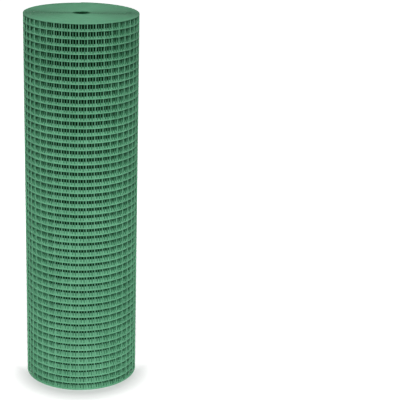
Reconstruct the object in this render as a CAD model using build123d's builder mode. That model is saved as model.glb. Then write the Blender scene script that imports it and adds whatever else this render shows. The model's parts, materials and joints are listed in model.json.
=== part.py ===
"""Roll of welded wire fencing, standing on its end.

A long strip of green plastic-coated mesh, wound up tight on itself, with a hollow core and no spool.
It is modelled as one turned solid. The wound turns of the strip show as rings on both of its ends.
The frame stands on the floor at the middle of the roll, with Z up along the roll's axis.
"""
import os

from build123d import *

# Driving dimensions of the roll, in millimetres
roll_height = 1000.0
roll_diameter = 300.0
core_diameter = 40.0

# The coated wire, the slack that winding leaves, and how the strip's edge shows on the ends
wire_diameter = 2.8
turn_slack = 0.6
crown_width = 1.8
groove_depth = 2.8

# The welds press line wires and cross wires into one plane, so a turn of the strip is one wire thick
roll_radius = roll_diameter / 2
core_radius = core_diameter / 2
wound_thickness = roll_radius - core_radius
turn_count = int(wound_thickness / (wire_diameter + turn_slack))

# Each ring on an end stands for two neighbouring turns, and a groove parts it from the next ring
turns_per_ring = 2
ring_count = turn_count // turns_per_ring
ring_pitch = wound_thickness / ring_count
groove_width = ring_pitch - crown_width

# The outermost ring keeps its crown at the rim
outer_groove_radius = roll_radius - crown_width - groove_width / 2
groove_radii = [outer_groove_radius - ring * ring_pitch for ring in range(ring_count - 1)]

os.makedirs("parts", exist_ok=True)

with BuildPart() as mesh_roll:
    with BuildSketch(Plane.XZ) as half_section:
        with Locations((core_radius, 0)):
            Rectangle(wound_thickness, roll_height, align=(Align.MIN, Align.MIN))
        # Grooves between the rings of the lower end
        with Locations([(radius, 0) for radius in groove_radii]):
            Polygon(
                (-groove_width / 2, 0),
                (groove_width / 2, 0),
                (0, groove_depth),
                align=None,
                mode=Mode.SUBTRACT,
            )
        # Grooves between the rings of the upper end
        with Locations([(radius, roll_height) for radius in groove_radii]):
            Polygon(
                (-groove_width / 2, 0),
                (0, -groove_depth),
                (groove_width / 2, 0),
                align=None,
                mode=Mode.SUBTRACT,
            )
    revolve(axis=Axis.Z)

mesh_roll.part.label = "mesh_roll"
export_step(mesh_roll.part, "parts/mesh_roll.step")
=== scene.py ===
import json
import math

import bpy
import numpy as np
from mathutils import Matrix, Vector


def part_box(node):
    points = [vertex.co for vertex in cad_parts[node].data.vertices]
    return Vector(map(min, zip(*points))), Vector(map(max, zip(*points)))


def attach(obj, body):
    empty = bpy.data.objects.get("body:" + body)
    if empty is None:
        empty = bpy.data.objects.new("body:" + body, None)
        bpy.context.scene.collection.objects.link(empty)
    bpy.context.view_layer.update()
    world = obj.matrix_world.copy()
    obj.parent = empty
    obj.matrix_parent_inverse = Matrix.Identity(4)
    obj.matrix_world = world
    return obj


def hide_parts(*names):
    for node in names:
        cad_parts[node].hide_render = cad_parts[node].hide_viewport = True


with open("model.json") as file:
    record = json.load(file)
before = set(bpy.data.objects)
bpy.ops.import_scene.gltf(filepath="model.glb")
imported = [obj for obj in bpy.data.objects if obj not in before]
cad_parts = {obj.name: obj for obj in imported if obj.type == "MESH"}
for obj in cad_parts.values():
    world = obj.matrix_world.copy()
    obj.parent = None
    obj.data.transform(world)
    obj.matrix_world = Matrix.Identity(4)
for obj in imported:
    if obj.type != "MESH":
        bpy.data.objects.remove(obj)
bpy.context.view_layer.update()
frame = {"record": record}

# Line wires of the outer turns
# Fifty-three steel wires with a green plastic coat run the whole length of the strip, one above the other.
# They are welded to the cross wires and coated with them, so that both lie almost in one plane.
# The strip is wound on itself, so each of them goes round the core in a flat spiral, outermost turn first.
roll_low, roll_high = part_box("mesh_roll")
roll_height = roll_high.z - roll_low.z
roll_radius = (roll_high.x - roll_low.x) / 2
core_bore = next(mount for mount in frame["record"]["mounts"] if mount["name"] == "core_bore")
core_radius = core_bore["dims"]["r_mm"] / 1000
line_wire_radius = 0.0014
line_wire_count = 53
turn_count = 38
turn_pitch = (roll_radius - core_radius) / turn_count

# Winding leaves the edges of the turns a little uneven, within this play
edge_play = 0.0008
row_pitch = (roll_height - edge_play - 2 * line_wire_radius) / (line_wire_count - 1)
row_heights = roll_low.z + line_wire_radius + row_pitch * np.arange(line_wire_count)
rises_per_turn = 3
rise_seed = 19
turn_rises = np.random.default_rng(rise_seed).uniform(0, edge_play, turn_count * rises_per_turn + 1)

# The free end lies at the back of the roll, and each turn steps in under it over the last part of its round
free_end_angle = math.radians(90)
step_start_share = 0.78


def strip_radius(turns):
    """Radius of the strip's outer face, so many turns in from its free end."""
    whole_turns = np.floor(turns)
    step = np.clip((turns - whole_turns - step_start_share) / (1 - step_start_share), 0, 1)
    return roll_radius - turn_pitch * (whole_turns + step * step * (3 - 2 * step))


def strip_angle(turns):
    """Direction from the axis to the strip, so many turns in from its free end."""
    return free_end_angle - 2 * math.pi * turns


def strip_rise(turns):
    """How far the strip stands above the floor, so many turns in from its free end."""
    return np.interp(turns * rises_per_turn, np.arange(len(turn_rises)), turn_rises)


def round_wires(name, radius, angle, height, thickness, sides, standing):
    """Closed round wires along rows of points, given by distance from the axis, direction and height."""
    radius, angle, height, thickness = np.broadcast_arrays(radius, angle, height, thickness)
    around = 2 * math.pi * np.arange(sides) / sides
    level = np.zeros_like(angle)
    outward = np.stack([np.cos(angle), np.sin(angle), level], axis=-1)
    if standing:
        sideways = np.stack([-np.sin(angle), np.cos(angle), level], axis=-1)
    else:
        sideways = np.stack([level, level, level + 1], axis=-1)
    axis_points = np.stack([radius * np.cos(angle), radius * np.sin(angle), height], axis=-1)
    rim = np.cos(around)[:, None] * outward[..., None, :]
    rim = rim + np.sin(around)[:, None] * sideways[..., None, :]
    points = axis_points[..., None, :] + thickness[..., None, None] * rim
    wires, samples = radius.shape
    wire, sample, side = np.indices((wires, samples - 1, sides))
    near = (wire * samples + sample) * sides
    far = near + sides
    next_side = (side + 1) % sides
    walls = np.stack([near + side, near + next_side, far + next_side, far + side], axis=-1)
    first_corners = np.arange(wires)[:, None] * samples * sides + np.arange(sides)
    start_caps = first_corners[:, ::-1]
    end_caps = first_corners + (samples - 1) * sides
    faces = walls.reshape(-1, 4).tolist() + start_caps.tolist() + end_caps.tolist()
    mesh = bpy.data.meshes.new(name)
    mesh.from_pydata(points.reshape(-1, 3).tolist(), [], faces)
    mesh.shade_smooth()
    piece = bpy.data.objects.new(name, mesh)
    bpy.context.scene.collection.objects.link(piece)
    return piece


def wound_line_wires(name, heights, first_turn, last_turn, points_per_turn, sides):
    """Line wires at some heights over a stretch of the winding, as flat spirals of round wire."""
    turns = np.linspace(first_turn, last_turn, (last_turn - first_turn) * points_per_turn + 1)
    radius = strip_radius(turns) - line_wire_radius
    height = heights[:, None] + strip_rise(turns)
    return round_wires(name, radius, strip_angle(turns), height, line_wire_radius, sides, standing=False)


def coat_material(name, pale_green, deep_green, shine):
    """Plastic coat with a soft sheen: two close greens in soft patches, and a slightly uneven skin."""
    material = bpy.data.materials.new(name)
    material.use_nodes = True
    nodes = material.node_tree.nodes
    links = material.node_tree.links
    shader = nodes["Principled BSDF"]
    shader.inputs["Specular IOR Level"].default_value = shine
    place = nodes.new("ShaderNodeTexCoord")
    patches = nodes.new("ShaderNodeTexNoise")
    patches.inputs["Scale"].default_value = 14
    patches.inputs["Detail"].default_value = 4
    tint = nodes.new("ShaderNodeValToRGB")
    tint.color_ramp.elements[0].position = 0.35
    tint.color_ramp.elements[0].color = (*deep_green, 1)
    tint.color_ramp.elements[1].position = 0.65
    tint.color_ramp.elements[1].color = (*pale_green, 1)
    skin = nodes.new("ShaderNodeTexNoise")
    skin.inputs["Scale"].default_value = 900
    skin.inputs["Detail"].default_value = 2
    gloss = nodes.new("ShaderNodeMapRange")
    gloss.inputs["To Min"].default_value = 0.52
    gloss.inputs["To Max"].default_value = 0.66
    bump = nodes.new("ShaderNodeBump")
    bump.inputs["Strength"].default_value = 0.12
    bump.inputs["Distance"].default_value = 0.0004
    links.new(place.outputs["Object"], patches.inputs["Vector"])
    links.new(place.outputs["Object"], skin.inputs["Vector"])
    links.new(patches.outputs["Fac"], tint.inputs["Fac"])
    links.new(tint.outputs["Color"], shader.inputs["Base Color"])
    links.new(patches.outputs["Fac"], gloss.inputs["Value"])
    links.new(gloss.outputs["Result"], shader.inputs["Roughness"])
    links.new(skin.outputs["Fac"], bump.inputs["Height"])
    links.new(bump.outputs["Normal"], shader.inputs["Normal"])
    return material


def add_to_roll(piece, material):
    """Gives a piece its material and makes it a visible part of the roll."""
    piece.data.materials.append(material)
    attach(piece, "root")
    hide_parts("mesh_roll")


wire_coat = coat_material(
    "wire_coat",
    pale_green=(0.155, 0.43, 0.255),
    deep_green=(0.13, 0.38, 0.22),
    shine=0.12,
)

# The mesh can be looked into as deep as this, so these turns get all of their wires
open_turns = 8
for name, first_turn, last_turn, points_per_turn, sides in (
    ("line_wires_outermost_turn", 0, 1, 144, 8),
    ("line_wires_next_turns", 1, 3, 108, 6),
    ("line_wires_middle_turns", 3, 6, 90, 5),
    ("line_wires_shaded_turns", 6, open_turns, 72, 4),
):
    outer_line_wires = wound_line_wires(name, row_heights, first_turn, last_turn, points_per_turn, sides)
    add_to_roll(outer_line_wires, wire_coat)

# Edge wires of the inner turns
# The same coated wires go on in to the core, but only the strip's two edges show there, on the roll's ends.
# So the lowest and the highest of them are made here, and the packed ring below stands for the rest.
core_turns = 1
core_start = turn_count - core_turns
edge_rows = row_heights[[0, -1]]
edge_line_wires = wound_line_wires(
    "line_wires_inner_edges", edge_rows, open_turns, core_start, points_per_turn=60, sides=6
)
add_to_roll(edge_line_wires, wire_coat)

# Line wires round the core
# The innermost turn of coated wire is bent round a mandrel, which is drawn out again and leaves no spool.
# It is the wall of the hollow core and lies in the roll's own shade, which is painted on as a deeper green.
# Its two edges get some light on the roll's ends and a lighter painted shade, the rest a near-black one.
core_line_wires = wound_line_wires(
    "line_wires_core_turn", row_heights[1:-1], core_start, turn_count, points_per_turn=40, sides=6
)
core_edge_wires = wound_line_wires(
    "line_wires_core_edges", edge_rows, core_start, turn_count, points_per_turn=40, sides=6
)
# Painted shade: the wire coat's green made deeper, for wires that lie in the roll's shade
painted_shade_coat = coat_material(
    "painted_shade_coat",
    pale_green=(0.075, 0.26, 0.14),
    deep_green=(0.062, 0.23, 0.12),
    shine=0.12,
)
add_to_roll(core_edge_wires, painted_shade_coat)
# Painted deep shade: the same green made nearly black, for the core wall and the packed ring
painted_deep_shade_coat = coat_material(
    "painted_deep_shade_coat",
    pale_green=(0.008, 0.05, 0.02),
    deep_green=(0.006, 0.04, 0.015),
    shine=0.05,
)
add_to_roll(core_line_wires, painted_deep_shade_coat)

# Cross wires
# Straight lengths of the same coated wire, as long as the strip is wide, stand in a row along the strip.
# Each is welded to every line wire and is cut off flush with the strip's edges.
# Behind the outermost turn they stand in the shade of the turns in front, painted on as a deeper green.
cross_wire_radius = 0.0013
cross_wire_pitch = 0.021531
cross_wire_set_back = 0.0004
cross_wire_wander = 0.0001
wander_seed = 53
end_overhang = 0.0004
end_rounding = 0.0006
end_thickness_share = 0.55
lean_sway = 0.0016
lean_sway_waves = 1.35
lean_sway_start = -0.05
lean_slant = 0.0012

cross_wire_inset = cross_wire_radius + cross_wire_set_back
steps_per_turn = 360
winding = np.linspace(0, turn_count, turn_count * steps_per_turn + 1)
winding_radius = strip_radius(winding) - cross_wire_inset
winding_step = np.hypot(np.diff(winding_radius), winding_radius[:-1] * np.diff(strip_angle(winding)))
winding_length = np.concatenate([[0], np.cumsum(winding_step)])
cross_wire_count = int((winding_length[-1] - end_overhang) / cross_wire_pitch)
cross_wire_places = end_overhang + cross_wire_pitch * np.arange(cross_wire_count)
cross_wire_places += np.random.default_rng(wander_seed).normal(0, cross_wire_wander, cross_wire_count)
cross_wire_turns = np.interp(cross_wire_places, winding_length, winding)


def strip_lean(height):
    """How far along the strip a cross wire stands at a height, because the mesh isn't quite square."""
    share = height / roll_height
    sway = np.sin(2 * math.pi * (lean_sway_waves * share + lean_sway_start))
    return -lean_sway * sway - lean_slant * (share - 0.5)


def standing_cross_wires(name, places, low, high, points, sides):
    """Cross wires at places along the strip, from one height to another, with rounded ends."""
    heights = np.linspace(low + end_rounding, high - end_rounding, points)
    heights = np.concatenate([[low], heights, [high]])
    thickness = np.full(len(heights), cross_wire_radius)
    thickness[[0, -1]] = cross_wire_radius * end_thickness_share
    turns = np.interp(places[:, None] + strip_lean(heights), winding_length, winding)
    radius = strip_radius(turns) - cross_wire_inset
    height = heights + strip_rise(turns)
    return round_wires(name, radius, strip_angle(turns), height, thickness, sides, standing=True)


strip_low = roll_low.z
strip_high = roll_high.z - edge_play
stub_length = 0.0035
inside_low = strip_low + line_wire_radius
inside_high = strip_high - line_wire_radius
for name, first_turn, last_turn, low, high, points, sides, coat in (
    ("cross_wires_outermost_turn", 0, 1, strip_low, strip_high, 18, 8, wire_coat),
    ("cross_wires_next_turns", 1, 3, inside_low, inside_high, 18, 8, painted_shade_coat),
    ("cross_wires_deep_turns", 3, open_turns, inside_low, inside_high, 18, 5, painted_shade_coat),
    ("cross_wires_foot_ends", 1, core_start, strip_low, strip_low + stub_length, 2, 6, wire_coat),
    ("cross_wires_top_ends", 1, core_start, strip_high - stub_length, strip_high, 2, 6, wire_coat),
    # The core turn's cross wires get the near-black painted shade
    ("cross_wires_core_turn", core_start, turn_count, strip_low, strip_high, 18, 6, painted_deep_shade_coat),
):
    within = (cross_wire_turns >= first_turn) & (cross_wire_turns < last_turn)
    cross_wires = standing_cross_wires(name, cross_wire_places[within], low, high, points, sides)
    add_to_roll(cross_wires, coat)

# Packed inner turns
# Between the outer turns and the core the turns of mesh lie so close that hardly any light gets in.
# One closed ring stands for them, its plastic green painted as dark as that shade.
ring_outer = roll_radius - turn_pitch * open_turns
ring_inner = core_radius + turn_pitch * core_turns
ring_cover = 0.0034
ring_low = strip_low + ring_cover
ring_high = strip_high - ring_cover
ring_spokes = 96
ring_outline = [
    (ring_inner, ring_low),
    (ring_outer, ring_low),
    (ring_outer, ring_high),
    (ring_inner, ring_high),
]
spoke_angles = np.linspace(0, 2 * math.pi, ring_spokes, endpoint=False)
ring_points = [
    (radius * math.cos(angle), radius * math.sin(angle), height)
    for radius, height in ring_outline
    for angle in spoke_angles
]
ring_faces = []
for corner in range(len(ring_outline)):
    near = corner * ring_spokes
    far = (corner + 1) % len(ring_outline) * ring_spokes
    for spoke in range(ring_spokes):
        next_spoke = (spoke + 1) % ring_spokes
        ring_faces.append((near + spoke, near + next_spoke, far + next_spoke, far + spoke))
packed_mesh = bpy.data.meshes.new("packed_inner_turns")
packed_mesh.from_pydata(ring_points, [], ring_faces)
packed_turns = bpy.data.objects.new("packed_inner_turns", packed_mesh)
bpy.context.scene.collection.objects.link(packed_turns)
add_to_roll(packed_turns, painted_deep_shade_coat)

# Studio floor
# A wide sheet of plain white paper under the roll. For the camera it glows up to the background's white.
# In front of the roll's foot the glow is held back, which paints a soft contact shadow there.
# Further off, where the lamps reach less, the glow is stronger.
floor_reach = 40.0
painted_shadow_middle = (0, -0.03, roll_low.z)
painted_shadow_start = 0.135
painted_shadow_end = 0.195
painted_shadow_glow = 0.05
near_glow = 0.54
side_start = -0.06
side_end = 0.02
far_start = 0.3
far_end = 1.5
far_glow = 0.45
floor_corners = [(-floor_reach, -floor_reach), (floor_reach, -floor_reach)]
floor_corners += [(floor_reach, floor_reach), (-floor_reach, floor_reach)]
floor_mesh = bpy.data.meshes.new("studio_floor")
floor_mesh.from_pydata([(x, y, roll_low.z) for x, y in floor_corners], [], [(0, 1, 2, 3)])
floor = bpy.data.objects.new("studio_floor", floor_mesh)
bpy.context.scene.collection.objects.link(floor)
paper = bpy.data.materials.new("white_paper")
paper.use_nodes = True
paper_nodes = paper.node_tree.nodes
paper_links = paper.node_tree.links
paper_shader = paper_nodes["Principled BSDF"]
paper_shader.inputs["Base Color"].default_value = (0.8, 0.8, 0.8, 1)
paper_shader.inputs["Roughness"].default_value = 1.0
paper_shader.inputs["Specular IOR Level"].default_value = 0.0
paper_shader.inputs["Emission Color"].default_value = (1, 1, 1, 1)
paper_place = paper_nodes.new("ShaderNodeTexCoord")
paper_axes = paper_nodes.new("ShaderNodeSeparateXYZ")
paper_links.new(paper_place.outputs["Object"], paper_axes.inputs["Vector"])

# The painted contact shadow leans to the front and ends at the roll's sides
distance = paper_nodes.new("ShaderNodeVectorMath")
distance.operation = "DISTANCE"
distance.inputs[1].default_value = painted_shadow_middle
paper_links.new(paper_place.outputs["Object"], distance.inputs[0])
painted_contact_shadow = paper_nodes.new("ShaderNodeMapRange")
painted_contact_shadow.inputs["From Min"].default_value = painted_shadow_start
painted_contact_shadow.inputs["From Max"].default_value = painted_shadow_end
painted_contact_shadow.inputs["To Min"].default_value = painted_shadow_glow
painted_contact_shadow.inputs["To Max"].default_value = near_glow
paper_links.new(distance.outputs["Value"], painted_contact_shadow.inputs["Value"])
behind = paper_nodes.new("ShaderNodeMapRange")
behind.inputs["From Min"].default_value = side_start
behind.inputs["From Max"].default_value = side_end
behind.inputs["To Max"].default_value = near_glow
paper_links.new(paper_axes.outputs["Y"], behind.inputs["Value"])
near_level = paper_nodes.new("ShaderNodeMath")
near_level.operation = "MAXIMUM"
paper_links.new(painted_contact_shadow.outputs["Result"], near_level.inputs[0])
paper_links.new(behind.outputs["Result"], near_level.inputs[1])

# The glow grows with the distance
far_level = paper_nodes.new("ShaderNodeMapRange")
far_level.inputs["From Min"].default_value = far_start
far_level.inputs["From Max"].default_value = far_end
far_level.inputs["To Max"].default_value = far_glow
paper_links.new(distance.outputs["Value"], far_level.inputs["Value"])
paper_level = paper_nodes.new("ShaderNodeMath")
paper_level.operation = "ADD"
paper_links.new(near_level.outputs["Value"], paper_level.inputs[0])
paper_links.new(far_level.outputs["Result"], paper_level.inputs[1])

# It shows where the paper is looked at or mirrored, and lights nothing else
paper_ray = paper_nodes.new("ShaderNodeLightPath")
paper_mirrored = paper_nodes.new("ShaderNodeMath")
paper_mirrored.operation = "MAXIMUM"
paper_links.new(paper_ray.outputs["Is Glossy Ray"], paper_mirrored.inputs[0])
paper_links.new(paper_ray.outputs["Is Transmission Ray"], paper_mirrored.inputs[1])
paper_seen = paper_nodes.new("ShaderNodeMath")
paper_seen.operation = "MAXIMUM"
paper_links.new(paper_ray.outputs["Is Camera Ray"], paper_seen.inputs[0])
paper_links.new(paper_mirrored.outputs["Value"], paper_seen.inputs[1])
paper_glow = paper_nodes.new("ShaderNodeMath")
paper_glow.operation = "MULTIPLY"
paper_links.new(paper_seen.outputs["Value"], paper_glow.inputs[0])
paper_links.new(paper_level.outputs["Value"], paper_glow.inputs[1])
paper_links.new(paper_glow.outputs["Value"], paper_shader.inputs["Emission Strength"])
floor_mesh.materials.append(paper)

# Studio light
# A soft spot from the front, above the camera, a weak light from overhead, and pale air all round.
# The spot is aimed low, so that the top of the roll is a little dimmer.
# The air is white only where it is looked at or mirrored, so it doesn't fill the shade between the wires.
key_distance = 12.0
key_elevation = 33.5
key_aim = (0, 0, 0.2)
key_level = 3.5
key_cone = 13
key_spread = 6
top_elevation = 78
top_level = 0.25
top_spread = 30
air_level = 0.02
key_lamp = bpy.data.lights.new("key_light", "SPOT")
key_lamp.energy = key_level * 4 * math.pi * key_distance ** 2
key_lamp.spot_size = math.radians(key_cone)
key_lamp.spot_blend = 1.0
key_lamp.shadow_soft_size = key_distance * math.tan(math.radians(key_spread / 2))
key_light = bpy.data.objects.new("key_light", key_lamp)
key_turn = Matrix.Rotation(math.radians(90 - key_elevation), 4, "X")
key_light.matrix_world = Matrix.Translation(key_aim) @ key_turn @ Matrix.Translation((0, 0, key_distance))
bpy.context.scene.collection.objects.link(key_light)
top_lamp = bpy.data.lights.new("top_light", "SUN")
top_lamp.energy = top_level
top_lamp.angle = math.radians(top_spread)
top_light = bpy.data.objects.new("top_light", top_lamp)
top_light.matrix_world = Matrix.Rotation(math.radians(90 - top_elevation), 4, "X")
bpy.context.scene.collection.objects.link(top_light)
world = bpy.data.worlds.new("studio_air")
bpy.context.scene.world = world
world.use_nodes = True
air_nodes = world.node_tree.nodes
air_links = world.node_tree.links
air = air_nodes["Background"]
air.inputs["Color"].default_value = (1, 1, 1, 1)
air_ray = air_nodes.new("ShaderNodeLightPath")
air_mirrored = air_nodes.new("ShaderNodeMath")
air_mirrored.operation = "MAXIMUM"
air_links.new(air_ray.outputs["Is Glossy Ray"], air_mirrored.inputs[0])
air_links.new(air_ray.outputs["Is Transmission Ray"], air_mirrored.inputs[1])
air_seen = air_nodes.new("ShaderNodeMath")
air_seen.operation = "MAXIMUM"
air_links.new(air_ray.outputs["Is Camera Ray"], air_seen.inputs[0])
air_links.new(air_mirrored.outputs["Value"], air_seen.inputs[1])
air_strength = air_nodes.new("ShaderNodeMapRange")
air_strength.inputs["To Min"].default_value = air_level
air_strength.inputs["To Max"].default_value = 1.0
air_links.new(air_seen.outputs["Value"], air_strength.inputs["Value"])
air_links.new(air_strength.outputs["Result"], air.inputs["Strength"])

# Camera
# It stands well in front of the roll and above its top, and looks down past its right side.
# It has a long lens and leans over very slightly.
camera_place = (0, -3.483, 1.644)
camera_yaw = -5.248
camera_dip = 18.243
camera_lean = 1.621
camera = bpy.data.cameras.new("camera")
camera.sensor_width = 36
camera.lens = 122.3
camera.clip_end = 100
camera_object = bpy.data.objects.new("camera", camera)
camera_turn = Matrix.Rotation(math.radians(camera_yaw), 4, "Z")
camera_turn = camera_turn @ Matrix.Rotation(math.radians(90 - camera_dip), 4, "X")
camera_turn = camera_turn @ Matrix.Rotation(math.radians(camera_lean), 4, "Z")
camera_object.matrix_world = Matrix.Translation(camera_place) @ camera_turn
bpy.context.scene.collection.objects.link(camera_object)
bpy.context.scene.camera = camera_object
bpy.context.scene.view_settings.view_transform = "Standard"
